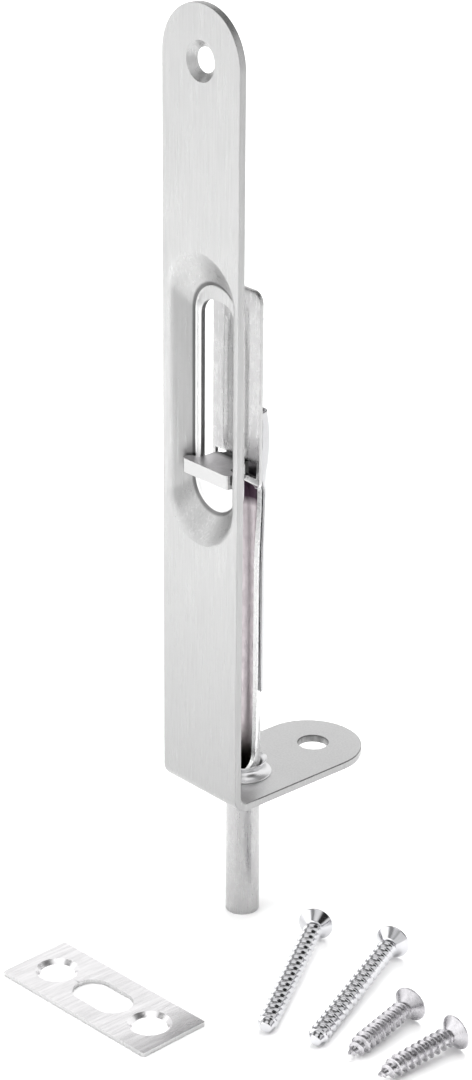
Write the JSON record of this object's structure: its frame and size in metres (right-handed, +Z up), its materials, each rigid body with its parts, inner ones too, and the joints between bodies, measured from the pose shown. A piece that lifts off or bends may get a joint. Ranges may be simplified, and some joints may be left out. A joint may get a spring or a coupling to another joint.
{
  "type": "flush bolt",
  "caption": "Flush bolt with a pressed finger slot, thumb tab, formed sliding rod, leaf spring and bent foot, shown with its strike plate and countersunk screws.",
  "frame": {"origin": "on the back face of the face plate, on its centre line, 20 mm below the centre of the upper screw hole", "axes": "+Z up along the face plate, +Y from the plate into the door, +X along the plate's width"},
  "size_m": [0.0759, 0.0767, 0.1777],
  "materials": {
    "plate_steel": "satin stainless steel with fine grain along its length",
    "bush_steel": "bright turned and flared steel",
    "bolt_steel": "smooth stainless sheet, faintly mottled inside the channel",
    "tab_steel": "polished steel",
    "spring_steel": "bright rolled spring strip",
    "strike_steel": "bright, lightly grained stainless steel",
    "screw_zinc": "bright zinc plate"
  },
  "bodies": {
    "case": {"face_plate": "plate_steel", "guide_bush": "bush_steel"},
    "bolt": {"bolt_bar": "bolt_steel", "thumb_tab": "tab_steel", "leaf_spring": "spring_steel"},
    "strike_plate": {"strike_plate": "strike_steel"},
    "long_screw_1": {"long_screw_1": "screw_zinc"},
    "long_screw_2": {"long_screw_2": "screw_zinc"},
    "short_screw_1": {"short_screw_1": "screw_zinc"},
    "short_screw_2": {"short_screw_2": "screw_zinc"}
  },
  "joints": [
    {"name": "bolt_slide", "type": "slide", "parent": "case", "child": "bolt", "axis": [0, 0, 1], "range_m": [0, 0.028]},
    {"name": "strike_plate_lift", "type": "slide", "parent": "case", "child": "strike_plate", "axis": [0, 0, 1], "range_m": [0, 0.05]},
    {"name": "long_screw_1_lift", "type": "slide", "parent": "case", "child": "long_screw_1", "axis": [0, 0, 1], "range_m": [0, 0.05]},
    {"name": "long_screw_2_lift", "type": "slide", "parent": "case", "child": "long_screw_2", "axis": [0, 0, 1], "range_m": [0, 0.05]},
    {"name": "short_screw_1_lift", "type": "slide", "parent": "case", "child": "short_screw_1", "axis": [0, 0, 1], "range_m": [0, 0.05]},
    {"name": "short_screw_2_lift", "type": "slide", "parent": "case", "child": "short_screw_2", "axis": [0, 0, 1], "range_m": [0, 0.05]}
  ]
}
